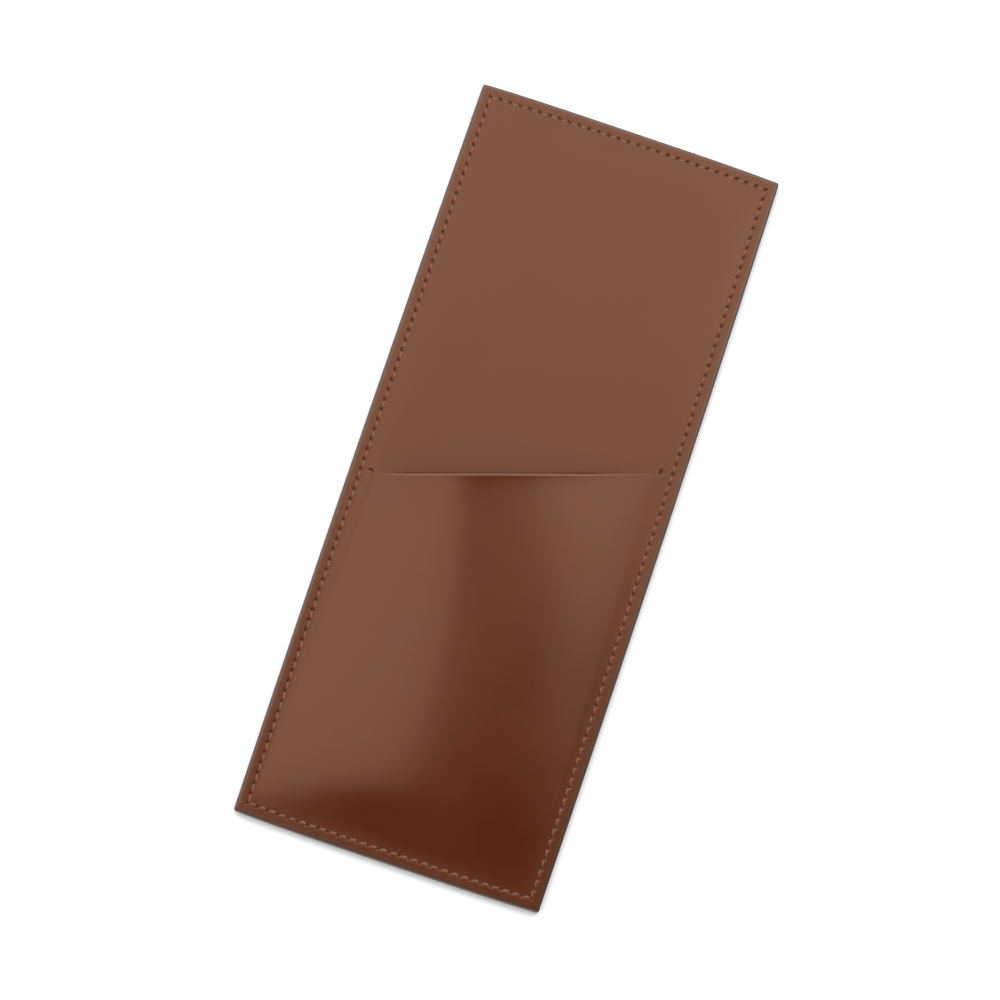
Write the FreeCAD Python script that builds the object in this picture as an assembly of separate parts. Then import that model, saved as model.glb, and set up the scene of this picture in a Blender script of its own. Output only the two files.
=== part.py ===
"""Flat leather pen case: two panels sewn together all round, with a slanted pocket mouth in the front one."""

import FreeCAD, Part
import math
import os

Vector = FreeCAD.Vector

# Driving dimensions, in millimetres and degrees.
# X runs across the case, Y from the pocket's floor to the top edge, and Z up from the surface it lies on.
case_width = 81.0
case_length = 198.0
front_leather = 1.2
back_leather = 1.4
corner_radius = 0.8
rim_bevel = 0.4

# The seam all round the edge
seam_inset = 2.7
stitch_pitch = 2.7
stitch_slant = 4.0
stitch_gap = 0.3
thread_width = 0.4
thread_height = 0.45
leg_clearance = 0.05
hole_length = 1.2
hole_width = 0.94
groove_width = 1.0
front_groove_depth = 0.3
back_groove_depth = 0.55

# The slanted mouth, and the tack stitch at each end of it
mouth_height = 104.2
mouth_slope = 1 / 3
mouth_end_gap = 0.25
mouth_gape = 1.0
tack_inset = 3.0
tack_bridge = 1.4

# The pocket's front, which swells between its sewn sides and stands open at the mouth.
# Its crest leans right of the middle at the floor and left of it at the lip, as a share of the half width.
pocket_land = 2.0
pocket_margin = 1.2
pocket_rise = 6.0
floor_share = 0.5
floor_lean = 0.27
lip_lean = -0.22
lean_power = 2.55
crest_power = 2.3
crown_power = 1.25
floor_power = 14.2
lip_power = 0.85
skin_columns = 15
skin_rows = 13
skin_crowding = 1.7

# Places that follow from the sizes above
half_width = case_width / 2
half_length = case_length / 2
face_z = back_leather + front_leather
seam_x = half_width - seam_inset
seam_y = half_length - seam_inset
tack_x = seam_x - tack_inset
mouth_x = tack_x - tack_bridge
pocket_x = seam_x - pocket_margin
floor_y = pocket_land - seam_y
front_groove_z = face_z - front_groove_depth
needle_top_z = front_groove_z + thread_height
bobbin_top_z = back_groove_depth
bobbin_low_z = back_groove_depth - thread_height
beyond = 1.0


def mouth_y(x):
    """The upper edge of the mouth, a straight slanted cut."""
    return mouth_height - half_length + mouth_slope * x


def swell(across, lean):
    """How far the leather stands out across the pocket: 0 at its sides, -1 and 1, and 1 at its crest."""
    slid = min(abs(across - lean) / (1 - lean * across), 1)
    return (1 - slid**crest_power) ** crown_power


def lip_y(x):
    """The lower edge of the mouth, which draws back from the cut where the pocket stands out."""
    return mouth_y(x) - mouth_end_gap - mouth_gape * swell(x / mouth_x, lip_lean)


def pocket_point(across, share, base_z):
    """A point of the pocket's front, share being 0 at its floor and 1 at its lip, where it is narrower."""
    lean = floor_lean + share**lean_power * (lip_lean - floor_lean)
    body = (1 - (1 - share) ** floor_power) ** 2
    along = body * (1 - (1 - floor_share) * (1 - share) ** lip_power)
    lip_x = across * mouth_x
    x = across * pocket_x + share * (lip_x - across * pocket_x)
    y = floor_y + share * (lip_y(lip_x) - floor_y)
    return Vector(x, y, base_z + pocket_rise * swell(across, lean) * along)


def prism(points, low, high):
    """A straight-sided block on a closed outline of (x, y) points."""
    corners = [Vector(x, y, low) for x, y in points]
    outline = Part.makePolygon(corners + corners[:1])
    return Part.Face(outline).extrude(Vector(0, 0, high - low))


def rectangle(half_x, half_y):
    """The outline of a rectangle about the middle of the case."""
    return [(-half_x, -half_y), (half_x, -half_y), (half_x, half_y), (-half_x, half_y)]


def along_line(shape, start, end, turn=0.0):
    """Moves a shape made along X from the origin onto the line from start to end, turned about its middle."""
    run = end - start
    heading = math.degrees(math.atan2(run.y, run.x))
    middle = Vector(run.Length / 2, 0, 0)
    moved = shape.copy()
    moved.rotate(middle, Vector(0, 0, 1), turn)
    moved.rotate(Vector(0, 0, 0), Vector(0, 0, 1), heading)
    moved.translate(start)
    return moved


def seam_stitches():
    """The seam as (start, end) pairs, one for each stitch, once round the case."""
    corners = [Vector(x, y, 0) for x, y in rectangle(seam_x, seam_y)]
    stitches = []
    for start, end in zip(corners, corners[1:] + corners[:1]):
        run = end - start
        count = round(run.Length / stitch_pitch)
        for number in range(count):
            first = start + run * (number / count)
            stitches.append((first, first + run * (1 / count)))
    return stitches


def tack_stitches():
    """The two tacks, each from its hole at an end of the mouth up to the seam, beside the nearest hole."""
    holes = [start for start, end in seam_stitches()]
    tacks = []
    for side in (-1, 1):
        tack = Vector(side * tack_x, mouth_y(side * tack_x), 0)
        above = [hole for hole in holes if hole.x * side > tack_x and hole.y >= tack.y]
        hole = min(above, key=tack.distanceToPoint)
        back = (tack - hole).normalize() * (groove_width / 2)
        tacks.append((tack, hole + back))
    return tacks


def needle_holes():
    """One cutter for every hole of the three-edged needle, through both panels."""
    tip = (-hole_length / 2, 0)
    base = hole_length / 2
    cutter = prism([tip, (base, -hole_width / 2), (base, hole_width / 2)], -beyond, face_z + beyond)
    stitches = seam_stitches() + tack_stitches()
    return Part.makeCompound([along_line(cutter, start, end) for start, end in stitches])


def seam_groove(low, high):
    """The channel that the seam and the two tacks lie in."""
    half = groove_width / 2
    outer = prism(rectangle(seam_x + half, seam_y + half), low, high)
    inner = prism(rectangle(seam_x - half, seam_y - half), low, high)
    channel = outer.cut(inner)
    for start, end in tack_stitches():
        reach = (end - start).Length
        run = prism([(-half, -half), (reach, -half), (reach, half), (-half, half)], low, high)
        channel = channel.fuse(along_line(run, start, end))
    return channel


def leather_sheet(thickness, low, rim_z):
    """A cut sheet with rounded corners, bevelled at the rim that shows."""
    sheet = Part.makeBox(case_width, case_length, thickness, Vector(-half_width, -half_length, low))
    upright = [edge for edge in sheet.Edges if abs(edge.tangentAt(edge.FirstParameter).z) > 0.5]
    sheet = sheet.makeFillet(corner_radius, upright)
    rim = [edge for edge in sheet.Edges if all(abs(point.Z - rim_z) < 1e-6 for point in edge.Vertexes)]
    return sheet.makeChamfer(rim_bevel, rim)


def pocket_skin(base_z):
    """One smooth face of the swollen pocket front, fanned from the straight floor to the slanted lip."""
    grid = []
    for row in range(skin_rows):
        share = (row / (skin_rows - 1)) ** skin_crowding
        line = []
        for column in range(skin_columns):
            across = 2 * column / (skin_columns - 1) - 1
            line.append(pocket_point(across, share, base_z))
        grid.append(line)
    skin = Part.BSplineSurface()
    skin.interpolate(grid)
    return skin.toShape()


def pocket_front():
    """The swollen part of the front panel, as thick as the leather it is part of."""
    outer = pocket_skin(face_z)
    inner = pocket_skin(back_leather)
    walls = [Part.makeRuledSurface(low, high) for low, high in zip(inner.Edges, outer.Edges)]
    shell = Part.makeShell([outer, inner] + walls)
    shell.sewShape()
    return Part.makeSolid(shell)


def front_panel():
    """The front leather, in one piece: flat above the mouth, swollen into the pocket's front below it."""
    window = [
        (-pocket_x, floor_y),
        (pocket_x, floor_y),
        (mouth_x, lip_y(mouth_x)),
        (mouth_x, mouth_y(mouth_x)),
        (-mouth_x, mouth_y(-mouth_x)),
        (-mouth_x, lip_y(-mouth_x)),
    ]
    panel = leather_sheet(front_leather, back_leather, face_z)
    panel = panel.cut(prism(window, 0, face_z + beyond))
    panel = panel.cut(seam_groove(front_groove_z, face_z + beyond))
    panel = panel.cut(needle_holes())
    return panel.fuse(pocket_front())


def back_panel():
    """The back leather, flat, with the seam let into its outer face so that it lies flat."""
    panel = leather_sheet(back_leather, 0, 0)
    panel = panel.cut(seam_groove(-beyond, back_groove_depth))
    return panel.cut(needle_holes())


def needle_stitch(start, end):
    """A stitch on the front: it lies in the groove, and its leg goes down the hole to the thread behind."""
    near = stitch_gap / 2
    far = (end - start).Length - stitch_gap / 2
    profile = [
        Vector(near, -thread_width / 2, bobbin_top_z + leg_clearance),
        Vector(hole_length / 2 - leg_clearance, -thread_width / 2, front_groove_z),
        Vector(far, -thread_width / 2, front_groove_z),
        Vector(far, -thread_width / 2, needle_top_z),
        Vector(near, -thread_width / 2, needle_top_z),
    ]
    bar = Part.Face(Part.makePolygon(profile + profile[:1])).extrude(Vector(0, thread_width, 0))
    return along_line(bar, start, end, stitch_slant)


def bobbin_stitch(start, end):
    """A stitch on the back: a short length of thread, let into the groove between two holes."""
    near = stitch_gap / 2
    far = (end - start).Length - stitch_gap / 2
    half = thread_width / 2
    bar = prism([(near, -half), (far, -half), (far, half), (near, half)], bobbin_low_z, bobbin_top_z)
    return along_line(bar, start, end, -stitch_slant)


def needle_thread():
    return Part.makeCompound([needle_stitch(start, end) for start, end in seam_stitches()])


def bobbin_thread():
    return Part.makeCompound([bobbin_stitch(start, end) for start, end in seam_stitches()])


def mouth_tacks():
    tacks = []
    for start, end in tack_stitches():
        tacks.append(needle_stitch(start, end))
        tacks.append(bobbin_stitch(start, end))
    return Part.makeCompound(tacks)


nodes = {
    "front_panel": front_panel,
    "back_panel": back_panel,
    "needle_thread": needle_thread,
    "bobbin_thread": bobbin_thread,
    "mouth_tacks": mouth_tacks,
}

os.makedirs("parts", exist_ok=True)
for name, build in nodes.items():
    shape = build()
    shape.exportStep(f"parts/{name}.step")
    print(name, "solids", len(shape.Solids), "valid", shape.isValid(), "volume", round(shape.Volume, 2))
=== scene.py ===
"""Looks of a flat leather pen case, made as surfaces in the same frame as its solid model.

Two leather panels are sewn together all round. The front one has a slanted mouth, and swells into a pocket
below it. Lengths are in metres. X runs across the case, Y from the pocket's floor to the top edge, and Z up
from the table.
"""

import math
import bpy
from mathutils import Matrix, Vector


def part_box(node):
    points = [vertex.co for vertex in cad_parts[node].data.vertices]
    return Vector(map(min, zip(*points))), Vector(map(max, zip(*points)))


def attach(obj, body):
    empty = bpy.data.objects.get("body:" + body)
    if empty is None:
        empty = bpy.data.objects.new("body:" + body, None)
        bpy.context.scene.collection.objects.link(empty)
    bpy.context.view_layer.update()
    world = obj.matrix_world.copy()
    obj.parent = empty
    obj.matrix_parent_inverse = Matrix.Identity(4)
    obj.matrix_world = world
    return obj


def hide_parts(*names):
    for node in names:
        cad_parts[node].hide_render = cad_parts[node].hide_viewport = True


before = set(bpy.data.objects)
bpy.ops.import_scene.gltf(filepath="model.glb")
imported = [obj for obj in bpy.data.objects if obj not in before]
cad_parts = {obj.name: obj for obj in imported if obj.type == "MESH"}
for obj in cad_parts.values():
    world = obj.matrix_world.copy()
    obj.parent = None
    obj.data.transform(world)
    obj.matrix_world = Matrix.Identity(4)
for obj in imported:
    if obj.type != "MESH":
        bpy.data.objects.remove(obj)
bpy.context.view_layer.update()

from types import SimpleNamespace

import bpy
import numpy as np
from bpy.props import FloatProperty, FloatVectorProperty, PointerProperty
from mathutils import Matrix, Vector

bl_info = {
    "name": "Leather pen case",
    "version": (1, 0, 0),
    "blender": (4, 5, 0),
    "location": "3D View > Sidebar > Pen case",
    "description": "Builds a sewn leather pen case with a swollen pocket, and a studio to show it in",
    "category": "Object",
}

FRONT_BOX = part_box("front_panel")
BACK_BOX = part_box("back_panel")
MM = 0.001

# Corners of the case, once round
CORNERS = np.array([(-1.0, -1.0), (1.0, -1.0), (1.0, 1.0), (-1.0, 1.0)])

# Mesh of a panel's border: the columns of one stitch as shares of its pitch, the rows beside the seam's
# line, the rows of the margin from the edge, and the level land inside the last row
STITCH_COLUMNS = np.array([0.0, 0.05, 0.1, 0.15, 0.215, 0.33, 0.5, 0.67, 0.785, 0.85, 0.9, 0.95])
SEAM_ROWS = np.array([-0.65, -0.5, -0.36, -0.24, -0.12, 0.0, 0.12, 0.24, 0.36, 0.5, 0.65]) * MM
MARGIN_ROWS = np.array([1.05, 1.55]) * MM
SEAM_LAND = 0.2 * MM

# Mesh of a stitch: its rings as shares of its length, and the sides of each ring
STITCH_RINGS = np.array([0.0, 0.16, 0.32, 0.5, 0.68, 0.84, 1.0])
STITCH_SIDES = 8
STRAY_SEED = 7

# What a point of the leather can be marked as, from 0 to 1. The pit mark is painted shade in the needle and
# tack holes, and the lip mark is a lighter tone that is partly a painted highlight
MARKS = ("burnish", "lip", "flesh", "pit")


def size(name, description, metres):
    """A length that a user may change."""
    return FloatProperty(
        name=name, description=description, default=metres, min=0.0, precision=5, unit="LENGTH"
    )


def share(name, description, value):
    """A plain number that a user may change."""
    return FloatProperty(name=name, description=description, default=value, precision=3)


def colour(name, description, red, green, blue):
    """A linear colour that a user may change."""
    return FloatVectorProperty(
        name=name, description=description, default=(red, green, blue), min=0.0, max=1.0, subtype="COLOR"
    )


class PenCaseSizes(bpy.types.PropertyGroup):
    """Sizes of the leather, the seam, the mouth and the pocket."""

    width: size("Width", "Across the case", FRONT_BOX[1][0] - FRONT_BOX[0][0])
    length: size("Length", "From the pocket's floor to the top edge", FRONT_BOX[1][1] - FRONT_BOX[0][1])
    front_leather: size("Front leather", "Thickness of the front panel", 1.2 * MM)
    back_leather: size("Back leather", "Thickness of the back panel", BACK_BOX[1][2] - BACK_BOX[0][2])
    corner_radius: size("Corner radius", "Rounding of the case's corners", 0.6 * MM)
    side_bow: size("Side bow", "How far the long sides bow out in the middle", 0.12 * MM)
    corner_draw: size("Corner draw", "How far the corners are drawn in", 0.45 * MM)
    rim_roll: size("Rim roll", "Radius of the rounded outer rim", 0.6 * MM)
    inner_roll: size("Inner roll", "Radius of a panel's hidden inner edge", 0.2 * MM)
    burnish_width: size("Burnish width", "From the edge to where the burnish starts to fade", 0.45 * MM)
    burnish_fade: size("Burnish fade", "Width over which the burnish fades", 0.9 * MM)
    seam_inset: size("Seam inset", "From the edge to the seam", 2.85 * MM)
    stitch_pitch: size("Stitch pitch", "From one needle hole to the next", 2.7 * MM)
    thread_radius: size("Thread radius", "Half the thickness of the thread", 0.38 * MM)
    thread_lobe: share("Thread lobe", "How far the two plies stand out, as a share of the radius", 0.1)
    # Painted shade: the drop at which the thread is painted as dark as its hole
    thread_shade: size("Thread shade", "Drop at which the thread is as dark as its hole", 0.22 * MM)
    front_sink: size("Front sink", "Depth of the thread's middle below the front", 0.23 * MM)
    back_sink: size("Back sink", "Depth of the thread's middle below the back", 0.4 * MM)
    stitch_drop: size("Stitch drop", "How much deeper the thread is at the ends of a stitch", 0.95 * MM)
    stitch_slant: size("Stitch slant", "How far each end of a stitch stands off the seam's line", 0.12 * MM)
    stitch_bow: size("Stitch bow", "How far the middle of a stitch lies inside the seam's line", 0.16 * MM)
    stitch_stray: share("Stitch stray", "How unevenly the stitches bow, as a share of the bow", 0.3)
    hole_length: size("Hole length", "Half a needle hole, along the seam", 0.52 * MM)
    hole_width: size("Hole width", "Half a needle hole, across the seam", 0.4 * MM)
    hole_depth: size("Hole depth", "How deep a needle hole shows", 0.34 * MM)
    front_groove: size("Front groove", "Depth that the thread presses into the front", 0.02 * MM)
    groove_width: size("Groove width", "Half the width of the thread's groove", 0.42 * MM)
    back_groove: size("Back groove", "Depth of the channel for the thread on the back", 0.55 * MM)
    mouth_height: size("Mouth height", "From the bottom edge to the middle of the mouth", 103.85 * MM)
    mouth_slope: share("Mouth slope", "Rise of the mouth for each step across", 0.34)
    mouth_gape: size("Mouth gape", "How far the lip draws back where the pocket stands out", 0.82 * MM)
    mouth_end_gap: size("Mouth end gap", "Width of the cut at its ends", 0.02 * MM)
    mouth_taper: size("Mouth taper", "How far from its ends the cut starts to close", 14.0 * MM)
    taper_lean: share("Taper lean", "How much longer the taper gets to the right, as a share of it", 0.5)
    # The lip's polish is a lighter tone that also paints the highlight along its rolled edge
    polish_taper: size("Polish taper", "Where the lip's polish fades, from the mouth's ends", 0.9 * MM)
    lip_band: size("Lip band", "Width of the polish on the face beside the lip", 0.4 * MM)
    lip_roll: size("Lip roll", "Radius of the burnished lip", 0.55 * MM)
    lip_curl: size("Lip curl", "How far the lip curls up from the pocket", 0.12 * MM)
    curl_reach: size("Curl reach", "How far below the lip the curl dies away", 2.5 * MM)
    edge_roll: size("Edge roll", "Radius of the mouth's upper edge", 0.12 * MM)
    edge_dip: size("Edge dip", "How far the mouth's upper edge is pressed down", 0.035 * MM)
    dip_reach: size("Dip reach", "How far above the mouth the dip dies away", 1.6 * MM)
    tack_inset: size("Tack inset", "From the seam to the tack hole", 3.0 * MM)
    tack_rise: size("Tack rise", "From the line of the mouth up to the tack hole", 0.4 * MM)
    tack_bridge: size("Tack bridge", "From the tack hole to the end of the mouth", 1.4 * MM)
    tack_hole: size("Tack hole", "Radius of a tack hole", 0.4 * MM)
    tack_draw: size("Tack draw", "How far the left tack hole is drawn out along its tack", 0.5 * MM)
    tack_spread: size("Tack spread", "How far the right tack hole is drawn out each way", 0.3 * MM)
    tack_stop: size("Tack stop", "From the end of a tack to the middle of the needle hole", 0.5 * MM)
    tack_sink: size("Tack sink", "Depth of the tack's middle below the front", 0.62 * MM)
    # Painted shade laid all along the tack's thread
    tack_shade: share("Tack shade", "How dark the tack's thread is", 0.9)
    pocket_margin: size("Pocket margin", "From the seam to the pocket's side", 1.2 * MM)
    pocket_land: size("Pocket land", "From the seam to the pocket's floor", 2.0 * MM)
    side_lift: size("Side lift", "How far the pocket stands off just inside the seam", 0.5 * MM)
    top_lift: size("Top lift", "How far the leather above the mouth stands off inside the seam", 0.35 * MM)
    side_climb: size("Side climb", "How far from the seam the side lift comes", 5.5 * MM)
    top_climb: size("Top climb", "How far from the seam the top lift comes", 3.5 * MM)
    lift_fade: size("Lift fade", "How far above the mouth one lift gives way to the other", 16.0 * MM)
    pocket_rise: size("Pocket rise", "How far the pocket's front stands out", 6.0 * MM)
    floor_share: share("Floor share", "Part of the rise that is reached just above the floor", 0.5)
    floor_lean: share("Floor lean", "Where the crest is at the floor, as a share of the half width", 0.27)
    lip_lean: share("Lip lean", "Where the crest is at the lip, as a share of the half width", -0.22)
    lean_power: share("Lean power", "How late the crest goes over to the other side", 2.55)
    crest_power: share("Crest power", "How broad the crest is", 2.3)
    crown_power: share("Crown power", "How sharply the crown falls to its sides", 1.25)
    floor_power: share("Floor power", "How fast the pocket swells above its floor", 14.2)
    lip_power: share("Lip power", "How late the rest of the rise comes", 0.85)


class PenCaseColours(bpy.types.PropertyGroup):
    """Colours of the leather, the thread and the floor."""

    grain: colour("Grain side", "The smooth outer face of the leather", 0.0525, 0.0088, 0.0012)
    grain_dark: colour("Grain side, dark", "The darker patches of the outer face", 0.0445, 0.0074, 0.0009)
    gloss: colour("Gloss tint", "Tint of the waxed finish", 1.0, 0.62, 0.43)
    flesh: colour("Flesh side", "The raw inner face of the leather", 0.16, 0.072, 0.04)
    edge: colour("Burnished edge", "The cut edges round the rim", 0.014, 0.008, 0.006)
    # A lighter polished tone, partly a painted highlight along the lip's rolled edge
    lip: colour("Lip", "The polished lip of the pocket", 0.08, 0.034, 0.018)
    # Painted shade at the bottom of a needle hole, also used where the thread drops into its holes
    pit: colour("Needle hole", "The bottom of a needle hole", 0.03, 0.005, 0.001)
    thread: colour("Thread", "The waxed sewing thread", 0.12, 0.044, 0.025)
    # Painted shade in the lines between the thread's strands
    thread_crevice_shade: colour("Thread, dark", "Between the strands of the thread", 0.08, 0.027, 0.015)
    floor: colour("Floor", "The pale surface that the case lies on", 0.7, 0.7, 0.7)


class PenCaseStudio(bpy.types.PropertyGroup):
    """The lights of the studio."""

    height: size("Height", "Height of the softboxes above the floor", 1.35)
    reach: size("Reach", "How far the softboxes go to the back and to the sides", 4.5)
    back_edge: size("Back edge", "How far back the near edge of the wide softbox is", 0.15)
    right_start: size("Right start", "How far right the brighter softbox starts", 0.2)
    right_end: size("Right end", "How far right the brighter softbox goes", 1.5)
    right_edge: size("Right edge", "How far back the near edge of the brighter softbox is", 0.22)
    right_gain: share("Right gain", "Brightness of the brighter softbox against the others", 1.3)
    front_edge: size("Front edge", "How far in front the near edge of the fill softbox is", 1.4)
    left_edge: size("Left edge", "How far left the near edge of the narrow softbox is", 0.14)
    left_start: size("Left start", "How far in front of the case's middle the narrow softbox starts", 0.354)
    radiance: share("Radiance", "Brightness of the softboxes", 3.05)
    ambient: share("Ambient", "Brightness of the rest of the room", 0.2)


def smooth(value):
    """The smooth step of a value from 0 to 1: three of its squares less two of its cubes."""
    held = np.clip(value, 0.0, 1.0)
    return held * held * (3.0 - 2.0 * held)


def case_places(sizes):
    """Places that follow from the sizes, most of them as in the solid model. The border is the sewn part."""
    half_x = sizes.width / 2
    half_y = sizes.length / 2
    seam_x = half_x - sizes.seam_inset
    seam_y = half_y - sizes.seam_inset
    tack_x = seam_x - sizes.tack_inset
    border = sizes.seam_inset + SEAM_ROWS[-1] + SEAM_LAND
    return SimpleNamespace(
        half_x=half_x,
        half_y=half_y,
        face=sizes.back_leather + sizes.front_leather,
        seam_x=seam_x,
        seam_y=seam_y,
        tack_x=tack_x,
        mouth_x=tack_x - sizes.tack_bridge,
        pocket_x=seam_x - sizes.pocket_margin,
        floor_y=sizes.pocket_land - seam_y,
        border_x=half_x - border,
        border_y=half_y - border,
    )


def mouth_line(sizes, x):
    """The upper edge of the mouth: a straight line that climbs to the right."""
    return sizes.mouth_height - sizes.length / 2 + sizes.mouth_slope * x


def swell(sizes, across, lean):
    """How far the leather stands out: one less a power of the slid place, to the crown's power.

    The slide puts the crest at the lean, and leaves the pocket's two sides, -1 and 1, where they are.
    """
    slid = np.minimum(np.abs(across - lean) / (1.0 - lean * across), 1.0)
    return (1.0 - slid**sizes.crest_power) ** sizes.crown_power


def lip_line(sizes, places, x):
    """The lower edge of the mouth: the upper one less the end gap, and less the gape times the swell."""
    across = np.clip(x / places.mouth_x, -1.0, 1.0)
    drawn = sizes.mouth_gape * swell(sizes, across, sizes.lip_lean)
    return mouth_line(sizes, x) - sizes.mouth_end_gap - drawn


def pocket_height(sizes, across, up):
    """Rise of the pocket's front: the swell across it, times a fast growth and a slow one on the way up.

    The fast one is one less a high power of what is left of the way, squared.
    The slow one goes from the floor's share to all of the rise at the lip, by a low power of what is left.
    """
    lean = sizes.floor_lean + up**sizes.lean_power * (sizes.lip_lean - sizes.floor_lean)
    body = (1.0 - (1.0 - up) ** sizes.floor_power) ** 2
    along = body * (1.0 - (1.0 - sizes.floor_share) * (1.0 - up) ** sizes.lip_power)
    return sizes.pocket_rise * swell(sizes, across, lean) * along


def side_lift(sizes, places, x, y):
    """Lift of the leather inside the seam, which pulls it down: one beside the pocket, a lesser one above.

    Each climbs as one less an exponential of the distance from the seam.
    The first gives way to the second above the mouth, by a smooth step.
    """
    inside = np.maximum(places.border_x - np.abs(x), 0.0)
    below = np.maximum(places.border_y - y, 0.0)
    above = np.maximum(places.border_y + y, 0.0)
    fade = smooth((y - mouth_line(sizes, x)) / sizes.lift_fade)
    low = (1.0 - np.exp(-inside / sizes.side_climb)) * (1.0 - np.exp(-above / sizes.side_climb))
    high = (1.0 - np.exp(-inside / sizes.top_climb)) * (1.0 - np.exp(-below / sizes.top_climb))
    return sizes.side_lift * low * (1.0 - fade) + sizes.top_lift * high * fade


def hand_cut(sizes, points):
    """The points moved to an outline as cut by hand: its long sides bow out, and its corners are drawn in.

    Across, a point moves by its share of the half width, times the bow less the draw by the square of its
    place along. Along, it moves in by its share of the half length, times the draw by the fourth power of
    its place across.
    """
    x = points[..., 0] / (sizes.width / 2)
    y = points[..., 1] / (sizes.length / 2)
    moved = points.copy()
    moved[..., 0] += x * (sizes.side_bow - sizes.corner_draw * y**2)
    moved[..., 1] -= y * sizes.corner_draw * x**4
    return moved


def quad_corners(grid):
    """The values at the four corners of each cell of a grid, along its columns, then its rows."""
    corners = (grid[..., :-1, :-1], grid[..., :-1, 1:], grid[..., 1:, 1:], grid[..., 1:, :-1])
    return np.stack(corners, axis=-1)


class Patchwork:
    """Grids and strips of points that become one mesh, joined where their points meet."""

    def __init__(self):
        self.points = []
        self.marks = []
        self.faces = []
        self.count = 0

    def add_points(self, points, **marks):
        """Adds a grid of points with its marks, and gives the grid of their numbers."""
        shape = points.shape[:-1]
        values = np.stack([np.broadcast_to(marks.get(mark, 0.0), shape) for mark in MARKS], axis=-1)
        self.points.append(points.reshape(-1, 3))
        self.marks.append(values.reshape(-1, len(MARKS)))
        numbers = self.count + np.arange(math.prod(shape)).reshape(shape)
        self.count += math.prod(shape)
        return numbers

    def add_faces(self, faces, turned):
        """Adds faces as rows of point numbers, turned over if asked."""
        self.faces.append(faces[:, ::-1] if turned else faces)

    def add_grid(self, numbers, turned=False):
        """Fills a grid of point numbers with quads."""
        self.add_faces(quad_corners(numbers).reshape(-1, 4), turned)

    def add_strip(self, outer, inner, outer_share, inner_share, turned):
        """Fills between two rows with different numbers of points.

        Each step of the outer row makes a triangle with the nearest inner point, by their shares of the way.
        Each step of the inner row makes one with the outer point where the nearest inner point changes.
        """
        outer_middle = (outer_share[:-1] + outer_share[1:]) / 2
        inner_middle = (inner_share[:-1] + inner_share[1:]) / 2
        nearest = np.searchsorted(inner_middle, outer_middle)
        change = np.searchsorted(outer_middle, inner_middle)
        self.add_faces(np.stack([outer[:-1], outer[1:], inner[nearest]], axis=-1), turned)
        self.add_faces(np.stack([inner[1:], inner[:-1], outer[change]], axis=-1), turned)

    def build(self, name, sizes):
        """The mesh: points within a micrometre of each other are merged, and the marks become attributes."""
        points = hand_cut(sizes, np.concatenate(self.points))
        # The shift keeps round lengths away from the sides of the cells
        cells_per_metre = 1e6
        shift = 0.37
        keys = np.floor(points * cells_per_metre + shift).astype(np.int64)
        kept, merged = np.unique(keys, axis=0, return_index=True, return_inverse=True)[1:]
        merged = merged.reshape(-1)
        faces = []
        for block in self.faces:
            faces += merged[block].tolist()
        mesh = bpy.data.meshes.new(name)
        mesh.from_pydata(points[kept].tolist(), [], faces)
        marks = np.concatenate(self.marks)[kept]
        for column, mark in enumerate(MARKS):
            attribute = mesh.attributes.new(mark, "FLOAT", "POINT")
            attribute.data.foreach_set("value", np.ascontiguousarray(marks[:, column], dtype=np.float32))
        mesh.shade_smooth()
        mesh.update()
        return mesh


def seam_columns(sizes, places):
    """Mesh columns round the seam: each one's side, its share of that side, and its place in its stitch.

    The place in a stitch is the distance from the nearest needle hole, along the seam.
    """
    sides = []
    shares = []
    nears = []
    for side in range(4):
        run = 2 * (places.seam_x if side % 2 == 0 else places.seam_y)
        count = round(run / sizes.stitch_pitch)
        stitch = np.arange(count)[:, None]
        shares.append(((stitch + STITCH_COLUMNS) / count).ravel())
        sides.append(np.full(shares[-1].size, side))
        nears.append(np.tile((STITCH_COLUMNS + 0.5) % 1.0 - 0.5, count) * run / count)
    return np.concatenate(sides), np.concatenate(shares), np.concatenate(nears)


def rounded_loop(side, along, half_x, half_y, radius):
    """Points round a rectangle, straight from corner to corner, and drawn in to an arc at each corner."""
    half = np.array([half_x, half_y])
    start = CORNERS[side] * half
    points = start + (CORNERS[(side + 1) % 4] * half - start) * along[:, None]
    centre = half - radius
    reach = np.abs(points) - centre
    tiny = 1e-9
    distance = np.maximum(np.linalg.norm(reach, axis=1), tiny)[:, None]
    arc = np.sign(points) * (centre + radius * reach / distance)
    return np.where((reach > 0.0).all(axis=1)[:, None], arc, points)


def pit_shape(away):
    """Depth of a pit at a distance in radii, which also sets its painted shade: a smooth step, from all of
    it to none just past the rim.
    """
    rim = 1.15
    slope = 0.75
    return smooth((rim - away) / slope)


def seam_relief(sizes, near, offset, groove):
    """Depth and painted shade along the seam: a bell-shaped valley, and an oval pit at each needle hole that
    is painted dark as shade.

    The valley is deepest at the holes, and shallower between them by a cosine.
    """
    ease = 0.2
    pull = 1.0 - ease + ease * np.cos(2 * np.pi * near / sizes.stitch_pitch)
    valley = groove * pull * np.exp(-((offset / sizes.groove_width) ** 2))
    pit = pit_shape(np.hypot(near / sizes.hole_length, offset / sizes.hole_width))
    return valley + (sizes.hole_depth - groove) * pit, pit


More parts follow.
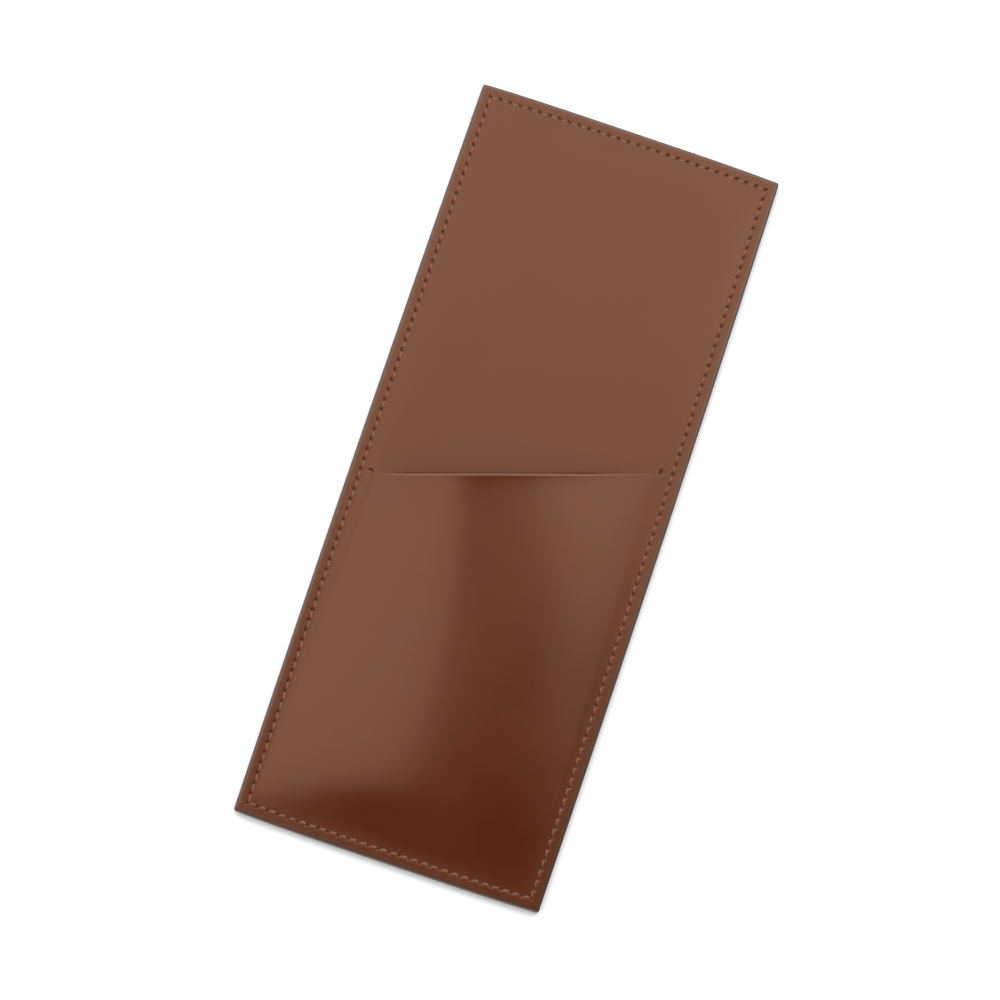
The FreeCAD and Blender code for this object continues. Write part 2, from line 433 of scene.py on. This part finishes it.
def tack_relief(sizes, places, x, y):
    """Depth and painted shade of the two tack holes, each a pit beside an end of the mouth.

    The left one is drawn out along its tack, and the right one along the seam.
    A point's distance is taken from the nearest place on a short line through the hole.
    """
    starts, ends = tack_stitches(sizes, places)
    run = (ends - starts) / np.linalg.norm(ends - starts, axis=1)[:, None]
    run[1] = (0.0, 1.0)
    low = np.array([0.0, -sizes.tack_spread])
    high = np.array([sizes.tack_draw, sizes.tack_spread])
    right = (x > 0.0).astype(int)
    from_x = x - starts[right, 0]
    from_y = y - starts[right, 1]
    along = from_x * run[right, 0] + from_y * run[right, 1]
    reach = np.clip(along, low[right], high[right])
    away = np.hypot(from_x - reach * run[right, 0], from_y - reach * run[right, 1])
    pit = pit_shape(away / sizes.tack_hole)
    return sizes.hole_depth * pit, pit


def border_rows(sizes, thickness):
    """Rows of the sewn border as insets from the edge and depths below the face.

    They start at the inner edge, a quarter circle, and go round the rim, a larger one, to the level margin
    and the seam.
    """
    turn = np.linspace(0.0, np.pi / 2, 4)
    roll = np.linspace(0.0, np.pi / 2, 7)
    level = np.concatenate([MARGIN_ROWS, sizes.seam_inset + SEAM_ROWS])
    inset = [sizes.inner_roll * (1.0 - np.sin(turn)), sizes.rim_roll * (1.0 - np.cos(roll)), level]
    inner_depth = thickness - sizes.inner_roll * (1.0 - np.cos(turn))
    depth = [inner_depth, sizes.rim_roll * (1.0 - np.sin(roll)), 0.0 * level]
    return np.concatenate(inset), np.concatenate(depth)


def add_border(patch, sizes, places, face, facing, thickness, groove):
    """The sewn border of a panel: its rows carried round the case, with the seam pressed in.

    The rim stays level. Gives the numbers of the inner row on each face, by sides, each side with the first
    point of the next, and the shares of the way along each side.
    """
    side, along, near = seam_columns(sizes, places)
    inset, depth = border_rows(sizes, thickness)
    loops = []
    for step in inset:
        radius = max(sizes.corner_radius - step, 0.0)
        loops.append(rounded_loop(side, along, places.half_x - step, places.half_y - step, radius))
    flat = np.stack(loops)
    pressed, pit = seam_relief(sizes, near[None, :], (inset - sizes.seam_inset)[:, None], groove)
    level_rim = 0.9 * MM
    ramp = 1.2 * MM
    margin = smooth((inset - level_rim) / ramp)[:, None]
    height = face - facing * (depth[:, None] + pressed * margin)
    burnish = 1.0 - smooth((inset - sizes.burnish_width) / sizes.burnish_fade)[:, None]
    points = np.concatenate([flat, height[..., None]], axis=-1)
    # The needle holes are painted dark, as painted shade
    numbers = patch.add_points(points, burnish=burnish, pit=pit * margin)
    patch.add_grid(np.hstack([numbers, numbers[:, :1]]), turned=facing < 0)
    rows = []
    for row in (numbers[-1], numbers[0]):
        rows.append([np.append(row[side == k], row[side == (k + 1) % 4][0]) for k in range(4)])
    shares = [np.append(along[side == k], 1.0) for k in range(4)]
    return rows[0], rows[1], shares


def close_border(patch, rows, shares, edges, places, turned):
    """Joins a row of the border, side by side, to the edges of the grid inside it."""
    points = np.concatenate(patch.points)
    for k in range(4):
        place = points[edges[k]]
        axis = k % 2
        half = (places.border_x, places.border_y)[axis]
        way = (place[:, axis] + half) / (2 * half)
        way = way if k < 2 else 1.0 - way
        patch.add_strip(rows[k], edges[k], shares[k], way, turned)


def front_columns():
    """Columns of the front: a share across the pocket, then a share of the way from its side to the border.

    Across the pocket they are partly even, and partly crowded to the sides by a sine.
    """
    crowding = 0.35
    even = np.linspace(-1.0, 1.0, 65)
    across = (1.0 - crowding) * even + crowding * np.sin(np.pi / 2 * even)
    beyond = np.array([0.12, 0.24, 0.32, 0.37, 0.41, 0.45, 0.5, 0.58, 0.76, 1.0])
    side = np.ones_like(beyond)
    return np.concatenate([-side, across, side]), np.concatenate([-beyond[::-1], 0.0 * across, beyond])


def front_rows():
    """Rows of the front: shares from the floor to the lip, and from the mouth to the top.

    They are close together at the mouth, and below it they also crowd to the floor by a power.
    """
    close = np.array(
        [0.0, 0.0012, 0.0028, 0.0045, 0.0065, 0.009, 0.012, 0.015, 0.02, 0.027, 0.04, 0.06, 0.085]
    )
    crowding = 1.5
    low_end = 0.9
    low = np.linspace(0.0, 1.0, 26) ** crowding * low_end
    high_start = 0.12
    high = np.linspace(high_start, 1.0, 22)
    return np.concatenate([low, 1.0 - close[::-1]]), np.concatenate([close, high])


def mouth_cut(sizes, places, across, beyond):
    """The mouth, column by column: where its lip and its upper edge start to roll over, and two fades.

    Both edges close on the line between them by a smooth step, the taper, which is longer on the right.
    The lip's polish, a lighter tone that also paints its highlight, fades by a much shorter one.
    """
    x = across * places.mouth_x + beyond * (places.border_x - places.mouth_x)
    from_end = (1.0 - np.abs(across)) * places.mouth_x
    taper = smooth(from_end / (sizes.mouth_taper * (1.0 + sizes.taper_lean * across)))
    middle = mouth_line(sizes, x) - sizes.mouth_end_gap / 2
    return SimpleNamespace(
        x=x,
        lip=middle + taper * (lip_line(sizes, places, x) - sizes.lip_roll - middle),
        top=middle + taper * (mouth_line(sizes, x) + sizes.edge_roll - middle),
        taper=taper,
        polish_and_highlight=smooth(from_end / sizes.polish_taper),
    )


def front_sheets(sizes, places, cut, across, foot_x):
    """The leather below the mouth and above it: places across, places along and lifts, as grids.

    Below, the columns fan from the pocket's floor to its narrower lip. Above, they spread again to the top.
    The lip curls up and the upper edge dips, and both die away from the mouth as an exponential.
    """
    up, above = front_rows()
    low_x = foot_x + up[:, None] * (cut.x - foot_x)
    low_y = places.floor_y + up[:, None] * (cut.lip - places.floor_y)
    low_z = pocket_height(sizes, across[None, :], up[:, None])
    low_z += sizes.lip_curl * np.exp(-(cut.lip - low_y) / sizes.curl_reach) * cut.taper
    low_x = np.vstack([foot_x, low_x])
    low_y = np.vstack([np.full_like(foot_x, -places.border_y), low_y])
    low_z = np.vstack([np.zeros_like(foot_x), low_z])
    low_z += side_lift(sizes, places, low_x, low_y)

    high_x = cut.x + above[:, None] * (foot_x - cut.x)
    high_y = cut.top + above[:, None] * (places.border_y - cut.top)
    high_z = -sizes.edge_dip * np.exp(-(high_y - cut.top) / sizes.dip_reach) * cut.taper
    high_z += side_lift(sizes, places, high_x, high_y)
    return (low_x, low_y, low_z), (high_x, high_y, high_z)


def wall_profile(thickness, radius):
    """Profile of a cut edge: how far it stands out at each depth, with a quarter circle at each face."""
    half_share = 0.45
    turn = np.sin(np.linspace(0.0, np.pi / 2, 5)) ** 2
    depth = np.concatenate([turn * half_share, 1.0 - turn[::-1] * half_share]) * thickness
    inside = np.minimum(np.minimum(depth, thickness - depth), radius)
    return depth, np.sqrt(np.maximum(radius**2 - (radius - inside) ** 2, 0.0))


def add_mouth_walls(patch, sizes, places, cut, lip_z, top_z, is_open):
    """The two cut edges of the mouth: their profiles, square to its line, times the taper."""
    normal = np.array([-sizes.mouth_slope, 1.0]) / math.hypot(sizes.mouth_slope, 1.0)
    edges = ((cut.lip, lip_z, sizes.lip_roll, 1.0), (cut.top, top_z, sizes.edge_roll, -1.0))
    for y, z, radius, way in edges:
        depth, out = wall_profile(sizes.front_leather, radius)
        reach = way * out[:, None] * cut.taper
        wall_z = places.face + z - depth[:, None]
        wall = np.stack([cut.x + normal[0] * reach, y + normal[1] * reach, wall_z], axis=-1)
        wall = wall[:, is_open]
        # The lip's edge gets the polish, a lighter tone that is partly a painted highlight
        painted_tone = np.broadcast_to((cut.polish_and_highlight * (way > 0))[is_open], wall.shape[:2])
        patch.add_grid(patch.add_points(wall, lip=painted_tone), turned=way < 0)


def front_panel_mesh(sizes):
    """The front leather: a level sheet cut by the mouth, whose lower part swells into the pocket."""
    places = case_places(sizes)
    patch = Patchwork()
    seam, rim, shares = add_border(
        patch, sizes, places, places.face, 1.0, sizes.front_leather, sizes.front_groove
    )
    across, beyond = front_columns()
    foot_x = across * places.pocket_x + beyond * (places.border_x - places.pocket_x)
    cut = mouth_cut(sizes, places, across, beyond)
    below, above = front_sheets(sizes, places, cut, across, foot_x)
    outer = []
    inner = []
    for x, y, z in (below, above):
        # The tack holes are painted dark, as painted shade
        pressed, pit = tack_relief(sizes, places, x, y)
        # A band of the lip's lighter tone beside the lip, partly a painted highlight
        lip = smooth(1.0 - np.abs(y - cut.lip) / sizes.lip_band) * cut.polish_and_highlight
        top = np.stack([x, y, places.face + z - pressed], axis=-1)
        outer.append(patch.add_points(top, lip=lip, pit=pit))
        inner.append(patch.add_points(np.stack([x, y, sizes.back_leather + z], axis=-1), flesh=1.0))
        patch.add_grid(outer[-1])
        patch.add_grid(inner[-1], turned=True)
    lip_z = below[2][-1]
    top_z = above[2][0]
    add_mouth_walls(patch, sizes, places, cut, lip_z, top_z, is_open=beyond == 0.0)
    for faces, rows, turned in ((outer, seam, False), (inner, rim, True)):
        low, high = faces
        right = np.concatenate([low[:, -1], high[1:, -1]])
        left = np.concatenate([low[:, 0], high[1:, 0]])
        edges = [low[0], right, high[-1, ::-1], left[::-1]]
        close_border(patch, rows, shares, edges, places, turned)
    return patch.build("front_leather", sizes)


def back_panel_mesh(sizes):
    """The back leather: a level sheet with the seam let into its lower face."""
    places = case_places(sizes)
    patch = Patchwork()
    seam, rim, shares = add_border(patch, sizes, places, 0.0, -1.0, sizes.back_leather, sizes.back_groove)
    columns = np.linspace(-places.border_x, places.border_x, 33)
    levels = np.linspace(-places.border_y, places.border_y, 79)
    x, y = np.meshgrid(columns, levels)
    under = patch.add_points(np.stack([x, y, 0.0 * x], axis=-1))
    inside = patch.add_points(np.stack([x, y, 0.0 * x + sizes.back_leather], axis=-1), flesh=1.0)
    patch.add_grid(under, turned=True)
    patch.add_grid(inside)
    for face, rows, turned in ((under, seam, True), (inside, rim, False)):
        edges = [face[0], face[:, -1], face[-1, ::-1], face[::-1, 0]]
        close_border(patch, rows, shares, edges, places, turned)
    return patch.build("back_leather", sizes)


def seam_stitches(sizes, places):
    """Start and end of every stitch of the seam, once round from the lower left corner."""
    starts = []
    for side in range(4):
        corner = CORNERS[side] * (places.seam_x, places.seam_y)
        run = CORNERS[(side + 1) % 4] * (places.seam_x, places.seam_y) - corner
        count = round(float(np.abs(run).max()) / sizes.stitch_pitch)
        starts.append(corner + run * (np.arange(count)[:, None] / count))
    starts = np.concatenate(starts)
    return starts, np.roll(starts, -1, axis=0)


def tack_stitches(sizes, places):
    """Start and end of the two tacks, each from its hole to just short of the nearest needle hole above."""
    holes = seam_stitches(sizes, places)[0]
    starts = []
    ends = []
    for side in (-1.0, 1.0):
        tack = np.array([side * places.tack_x, mouth_line(sizes, side * places.tack_x) + sizes.tack_rise])
        above = holes[(holes[:, 0] * side > places.tack_x) & (holes[:, 1] >= tack[1])]
        hole = above[np.argmin(np.linalg.norm(above - tack, axis=1))]
        starts.append(tack)
        ends.append(hole + sizes.tack_stop * (tack - hole) / np.linalg.norm(tack - hole))
    return np.array(starts), np.array(ends)


def stitch_points(sizes, starts, ends, face, facing, sunk, slant, bow):
    """Points of the stitches, by stitch, ring and side, and the depth of the thread's middle at each ring.

    The middle line is sunk below the face, and drops by the third power of the way to a hole. The slant
    moves its ends to opposite sides. The bow moves it to one side, as a parabola, and strays from stitch to
    stitch. The section is a circle with two lobes that turn once in a stitch.
    """
    way = STITCH_RINGS
    from_middle = 2.0 * way - 1.0
    around = np.arange(STITCH_SIDES) * (2 * np.pi / STITCH_SIDES)
    stray = np.random.default_rng(STRAY_SEED).uniform(-1.0, 1.0, len(starts)) * sizes.stitch_stray
    run = ends - starts
    reach = np.linalg.norm(run, axis=1)
    ahead = run / reach[:, None]
    beside = np.stack([-ahead[:, 1], ahead[:, 0]], axis=-1) * facing
    slide = slant * from_middle + bow * (1.0 - from_middle**2) * (1.0 + stray[:, None])
    middle = starts[:, None, :] + run[:, None, :] * way[:, None] + beside[:, None, :] * slide[:, :, None]
    depth = sunk + sizes.stitch_drop * np.abs(from_middle) ** 3
    # The thread's slope is that of its drop, and each ring is square to it
    fall = -facing * sizes.stitch_drop * 6.0 * from_middle * np.abs(from_middle)
    flat = np.broadcast_to(reach[:, None], (len(reach), len(way)))
    tilt = np.broadcast_to(fall, flat.shape)
    lift = np.stack([-ahead[:, None, 0] * tilt, -ahead[:, None, 1] * tilt, flat], axis=-1)
    lift = lift * facing / np.hypot(flat, tilt)[..., None]
    cross = np.concatenate([beside, np.zeros((len(reach), 1))], axis=1)
    twist = 2.0 * (around[None, :] - 2 * np.pi * way[:, None])
    lobe = sizes.thread_radius * (1.0 + sizes.thread_lobe * np.cos(twist))
    height = np.broadcast_to(face - facing * depth, flat.shape)
    centre = np.concatenate([middle, height[..., None]], axis=-1)
    points = (
        centre[:, :, None, :]
        + (lobe * np.cos(around))[None, :, :, None] * cross[:, None, None, :]
        + (lobe * np.sin(around))[None, :, :, None] * lift[:, :, None, :]
    )
    return hand_cut(sizes, points), depth


def stitch_mesh(name, sizes, starts, ends, face, facing, sunk, slant=0.0, bow=0.0, painted_tone=0.0):
    """Stitches as two-ply tubes from hole to hole, closed at both ends.

    A stitch takes painted shade by a smooth step where it drops into its holes, and one with a painted tone,
    as the tacks have, is painted dark all along.
    """
    points, depth = stitch_points(sizes, starts, ends, face, facing, sunk, slant, bow)
    count, rings, sides = points.shape[:3]
    numbers = np.arange(count * rings * sides).reshape(count, rings, sides)
    round_again = np.concatenate([numbers, numbers[:, :, :1]], axis=2)
    quads = quad_corners(round_again).reshape(-1, 4)
    caps = np.concatenate([numbers[:, 0, ::-1], numbers[:, -1, :]])
    mesh = bpy.data.meshes.new(name)
    mesh.from_pydata(points.reshape(-1, 3).tolist(), [], quads.tolist() + caps.tolist())

    turn = np.arange(sides + 1) / sides
    spots = np.stack(np.broadcast_arrays(turn[None, :], STITCH_RINGS[:, None]))
    spots = np.moveaxis(quad_corners(spots), 0, -1).reshape(-1, 2)
    spots = np.concatenate([np.tile(spots, (count, 1)), np.zeros((caps.size, 2))])
    mesh.uv_layers.new(name="twist").uv.foreach_set("vector", spots.astype(np.float32).ravel())
    # Painted shade where the thread drops into its holes, held at least at the painted tone all along
    shade = np.maximum(smooth((depth - sunk) / sizes.thread_shade), painted_tone)
    shade = np.broadcast_to(shade[:, None], numbers.shape)
    attribute = mesh.attributes.new("pit", "FLOAT", "POINT")
    attribute.data.foreach_set("value", np.ascontiguousarray(shade.ravel(), dtype=np.float32))
    mesh.shade_smooth()
    mesh.update()
    return mesh


class Wire:
    """A shader socket that can be used in sums: each sum adds its Math node."""

    def __init__(self, tree, socket=None):
        self.tree = tree
        self.socket = socket

    def node(self, kind, settings=None, sockets=None, output=0):
        """Adds a node of a type, with its settings first, then values or links for its sockets."""
        added = self.tree.nodes.new(kind)
        for key, value in (settings or {}).items():
            setattr(added, key, value)
        for key, value in (sockets or {}).items():
            if isinstance(value, Wire):
                self.tree.links.new(value.socket, added.inputs[key])
            else:
                added.inputs[key].default_value = value
        return Wire(self.tree, added.outputs[output] if len(added.outputs) else None)

    def math(self, operation, first, second=0.0):
        """Adds a Math node of two values."""
        return self.node("ShaderNodeMath", {"operation": operation}, {0: first, 1: second})

    def blend(self, first, second):
        """The first colour where this value is 0, and the second where it is 1."""
        return self.node("ShaderNodeMix", {"data_type": "RGBA"}, {0: self, 6: first, 7: second}, 2)

    def span(self, low, high, least=0.0, most=1.0):
        """This value, carried from one range to another and held there."""
        return self.node("ShaderNodeMapRange", None, {0: self, 1: low, 2: high, 3: least, 4: most})

    def __add__(self, other):
        return self.math("ADD", self, other)

    def __radd__(self, other):
        return self.math("ADD", other, self)

    def __sub__(self, other):
        return self.math("SUBTRACT", self, other)

    def __mul__(self, other):
        return self.math("MULTIPLY", self, other)


def new_finish(name):
    """An empty material and a wire into its nodes."""
    finish = bpy.data.materials.new(name)
    finish.use_nodes = True
    finish.node_tree.nodes.clear()
    return finish, Wire(finish.node_tree)


def full(values):
    """A colour with its alpha."""
    return (*values, 1.0)


def read_mark(wire, mark):
    """How far a point is marked as something, from 0 to 1."""
    return wire.node("ShaderNodeAttribute", {"attribute_name": mark}, output="Fac")


def noise(wire, place, scale, detail, roughness):
    """Noise with a scale in cells for each metre."""
    sockets = {"Vector": place, "Scale": scale, "Detail": detail, "Roughness": roughness}
    return wire.node("ShaderNodeTexNoise", None, sockets)


def bump(wire, height, strength, distance):
    """A normal that follows a height, with a distance in metres."""
    sockets = {"Strength": strength, "Distance": distance, "Height": height}
    return wire.node("ShaderNodeBump", None, sockets)


def surface(wire, sockets):
    """Ends a material with a surface that has these values and links."""
    shader = wire.node("ShaderNodeBsdfPrincipled", None, sockets)
    wire.node("ShaderNodeOutputMaterial", None, {"Surface": shader})


def leather_finish(name, colours):
    """Waxed smooth leather: mottled grain side with fine creases, and painted shade in the needle holes.

    The flesh side is raw, the edges round the rim are burnished, and the lip is polished to a lighter tone
    that partly paints its highlight.
    """
    finish, wire = new_finish(name)
    place = wire.node("ShaderNodeTexCoord", output="Object")
    burnish, lip, flesh, pit = [read_mark(wire, mark) for mark in MARKS]

    clouds = noise(wire, place, scale=45.0, detail=3.0, roughness=0.55)
    flecks = noise(wire, place, scale=420.0, detail=3.0, roughness=0.6)
    fibres = noise(wire, place, scale=2600.0, detail=4.0, roughness=0.7)
    cells = {"Vector": place, "Scale": 1900.0}
    creases = wire.node("ShaderNodeTexVoronoi", {"feature": "DISTANCE_TO_EDGE"}, cells, "Distance")
    crease = creases.span(0.0, 0.12)

    patch = (clouds * 0.85 + flecks * 0.15).span(0.25, 0.75)
    grain = patch.blend(full(colours.grain_dark), full(colours.grain))
    edge = flecks.span(0.2, 1.0).blend(full(colours.edge), full(colours.grain_dark))
    raw = fibres.span(0.3, 0.7).blend(full([0.7 * part for part in colours.flesh]), full(colours.flesh))
    colour_now = burnish.blend(grain, edge)
    # Lighter lip tone, partly a painted highlight
    colour_now = lip.blend(colour_now, full(colours.lip))
    colour_now = flesh.blend(colour_now, raw)
    # Painted shade in the needle and tack holes
    colour_now = (pit * 0.9).blend(colour_now, full(colours.pit))

    rough = clouds.span(0.3, 0.7, least=0.23, most=0.26)
    rough = rough + flecks.span(0.3, 0.7, least=-0.008, most=0.008)
    rough = rough + burnish * 0.06 + lip * 0.1 + flesh * 0.5 + pit * 0.05
    height = crease * 0.25 + flecks * 0.5 + fibres * (flesh * 4.0)
    surface(
        wire,
        {
            "Base Color": colour_now,
            "Roughness": rough,
            "Normal": bump(wire, height, strength=0.2, distance=0.02 * MM),
            "IOR": 1.5,
            "Specular Tint": full(colours.gloss),
            "Coat Weight": burnish * 0.38,
            "Coat Roughness": 0.3,
        },
    )
    return finish


def thread_finish(colours):
    """Waxed two-ply thread: light strands with painted shade in the dark lines between them, which wind
    round the stitch.
    """
    finish, wire = new_finish("waxed_thread")
    spot = wire.node("ShaderNodeUVMap", {"uv_map": "twist"})
    around = wire.node("ShaderNodeSeparateXYZ", None, {0: spot})
    along = Wire(wire.tree, around.socket.node.outputs[1])
    pit = read_mark(wire, "pit")
    place = wire.node("ShaderNodeTexCoord", output="Object")
    # Painted shade between the two plies, winding round the stitch, with a random fibre tone on top
    strand = wire.math("SINE", (around * 2.0 - along * 2.0) * (2 * math.pi))
    strand = strand * 0.5 + 0.5
    fibre = noise(wire, place, scale=5000.0, detail=3.0, roughness=0.6)
    light = (strand * 0.7 + fibre * 0.5).span(0.15, 0.85)
    colour_now = light.blend(full(colours.thread_crevice_shade), full(colours.thread))
    # Painted shade where the thread drops into its holes
    colour_now = (pit * 0.85).blend(colour_now, full(colours.pit))
    surface(
        wire,
        {
            "Base Color": colour_now,
            "Roughness": 0.38 + fibre * 0.12,
            "Normal": bump(wire, strand + fibre * 0.4, strength=0.6, distance=0.06 * MM),
            "Specular IOR Level": 0.6,
            "Specular Tint": full(colours.gloss),
        },
    )
    return finish


def floor_finish(colours):
    """A pale matt surface with a faint tooth."""
    finish, wire = new_finish("pale_floor")
    place = wire.node("ShaderNodeTexCoord", output="Object")
    tooth = noise(wire, place, scale=900.0, detail=3.0, roughness=0.6)
    shade = tooth.blend(full([0.992 * part for part in colours.floor]), full(colours.floor))
    surface(wire, {"Base Color": shade, "Roughness": 0.75 + tooth * 0.1})
    return finish


def place_piece(mesh, finish, node):
    """Puts a mesh into the scene as a piece that rides on the case, and stands for a node of the solid."""
    mesh.materials.append(finish)
    piece = bpy.data.objects.new(mesh.name, mesh)
    bpy.context.scene.collection.objects.link(piece)
    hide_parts(node)
    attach(piece, "root")
    return piece


class PENCASE_OT_back_panel(bpy.types.Operator):
    """Make the flat back panel"""

    bl_idname = "pen_case.back_panel"
    bl_label = "Back panel"

    def execute(self, context):
        sizes = context.scene.pen_case_sizes
        finish = leather_finish("back_leather", context.scene.pen_case_colours)
        piece = place_piece(back_panel_mesh(sizes), finish, "back_panel")
        return {"FINISHED"}


class PENCASE_OT_front_panel(bpy.types.Operator):
    """Make the front panel with its mouth and pocket"""

    bl_idname = "pen_case.front_panel"
    bl_label = "Front panel"

    def execute(self, context):
        sizes = context.scene.pen_case_sizes
        finish = leather_finish("front_leather", context.scene.pen_case_colours)
        piece = place_piece(front_panel_mesh(sizes), finish, "front_panel")
        return {"FINISHED"}


class PENCASE_OT_stitches(bpy.types.Operator):
    """Sew the seam on both faces and the two tacks beside the mouth"""

    bl_idname = "pen_case.stitches"
    bl_label = "Stitches"

    def execute(self, context):
        sizes = context.scene.pen_case_sizes
        places = case_places(sizes)
        finish = thread_finish(context.scene.pen_case_colours)
        seam = seam_stitches(sizes, places)
        tacks = tack_stitches(sizes, places)
        slant = sizes.stitch_slant
        front = stitch_mesh(
            "front_stitches", sizes, *seam, places.face, 1.0, sizes.front_sink, slant, sizes.stitch_bow
        )
        back = stitch_mesh("back_stitches", sizes, *seam, 0.0, -1.0, sizes.back_sink, slant)
        # The tacks are painted dark all along with the holes' painted shade
        tack = stitch_mesh(
            "tack_stitches", sizes, *tacks, places.face, 1.0, sizes.tack_sink, painted_tone=sizes.tack_shade
        )
        place_piece(front, finish, "needle_thread")
        place_piece(back, finish, "bobbin_thread")
        place_piece(tack, finish, "mouth_tacks")
        return {"FINISHED"}


class PENCASE_OT_studio(bpy.types.Operator):
    """Make the floor, the softboxes, the room and the camera"""

    bl_idname = "pen_case.studio"
    bl_label = "Studio"

    def execute(self, context):
        scene = context.scene
        studio = scene.pen_case_studio
        self.add_floor(scene)
        far = studio.reach
        bright = (studio.right_start, studio.right_end)
        self.add_softbox(scene, studio, "back_softbox", (-far, studio.right_start), (studio.back_edge, far))
        self.add_softbox(scene, studio, "right_softbox", bright, (studio.right_edge, far), studio.right_gain)
        self.add_softbox(scene, studio, "fill_softbox", (-far, far), (-far, -studio.front_edge))
        self.add_softbox(
            scene, studio, "left_softbox", (-far, -studio.left_edge), (-studio.left_start, studio.back_edge)
        )
        self.add_room(scene, studio)
        self.add_camera(scene)
        scene.view_settings.view_transform = "Standard"
        return {"FINISHED"}

    def add_floor(self, scene):
        """A level square, far larger than the view."""
        reach = 8.0
        mesh = bpy.data.meshes.new("floor")
        mesh.from_pydata([(x, y, 0.0) for x, y in CORNERS * reach], [], [(0, 1, 2, 3)])
        mesh.materials.append(floor_finish(scene.pen_case_colours))
        floor = bpy.data.objects.new("floor", mesh)
        scene.collection.objects.link(floor)

    def add_softbox(self, scene, studio, name, across, along, gain=1.0):
        """A level softbox over the floor, between two places across the case and two along it."""
        light = bpy.data.lights.new(name, "AREA")
        light.shape = "RECTANGLE"
        light.size = across[1] - across[0]
        light.size_y = along[1] - along[0]
        light.energy = gain * studio.radiance * math.pi * light.size * light.size_y
        box = bpy.data.objects.new(name, light)
        box.location = (sum(across) / 2, sum(along) / 2, studio.height)
        scene.collection.objects.link(box)

    def add_room(self, scene, studio):
        """A dim even room."""
        world = bpy.data.worlds.new("room")
        world.use_nodes = True
        world.node_tree.nodes.clear()
        wire = Wire(world.node_tree)
        white = (1.0, 1.0, 1.0, 1.0)
        glow = wire.node("ShaderNodeBackground", None, {"Color": white, "Strength": studio.ambient})
        wire.node("ShaderNodeOutputWorld", None, {"Surface": glow})
        scene.world = world

    def add_camera(self, scene):
        """A long lens almost overhead, tipped back a little and rolled, so that the case leans right."""
        view = bpy.data.cameras.new("camera")
        view.sensor_width = 36.0
        view.lens = 139.86
        view.clip_start = 0.01
        place = Vector((-0.00195, -0.155, 0.97455))
        aim = Vector((-0.00189, -0.00287, 0.0026))
        back = (place - aim).normalized()
        upward = Vector((-0.31988, 0.93606, 0.14649))
        right = upward.cross(back).normalized()
        axes = Matrix((right, back.cross(right), back)).transposed()
        camera = bpy.data.objects.new("camera", view)
        camera.matrix_world = Matrix.Translation(place) @ axes.to_4x4()
        scene.collection.objects.link(camera)
        scene.camera = camera


class PENCASE_PT_sidebar(bpy.types.Panel):
    """The steps that make the pen case, and its sizes, colours and lights"""

    bl_idname = "PENCASE_PT_sidebar"
    bl_label = "Pen case"
    bl_space_type = "VIEW_3D"
    bl_region_type = "UI"
    bl_category = "Pen case"

    def draw(self, context):
        for step in STEPS:
            self.layout.operator(step.bl_idname)
        for group in ("pen_case_sizes", "pen_case_colours", "pen_case_studio"):
            settings = getattr(context.scene, group)
            box = self.layout.box()
            for key in settings.bl_rna.properties.keys():
                if key not in ("rna_type", "name"):
                    box.prop(settings, key)


STEPS = (PENCASE_OT_studio, PENCASE_OT_back_panel, PENCASE_OT_front_panel, PENCASE_OT_stitches)
CLASSES = (PenCaseSizes, PenCaseColours, PenCaseStudio, *STEPS, PENCASE_PT_sidebar)


def register():
    for part in CLASSES:
        bpy.utils.register_class(part)
    bpy.types.Scene.pen_case_sizes = PointerProperty(type=PenCaseSizes)
    bpy.types.Scene.pen_case_colours = PointerProperty(type=PenCaseColours)
    bpy.types.Scene.pen_case_studio = PointerProperty(type=PenCaseStudio)


def unregister():
    del bpy.types.Scene.pen_case_studio
    del bpy.types.Scene.pen_case_colours
    del bpy.types.Scene.pen_case_sizes
    for part in reversed(CLASSES):
        bpy.utils.unregister_class(part)


def main():
    register()
    bpy.ops.pen_case.studio()
    bpy.ops.pen_case.back_panel()
    bpy.ops.pen_case.front_panel()
    bpy.ops.pen_case.stitches()


if __name__ == "__main__":
    main()
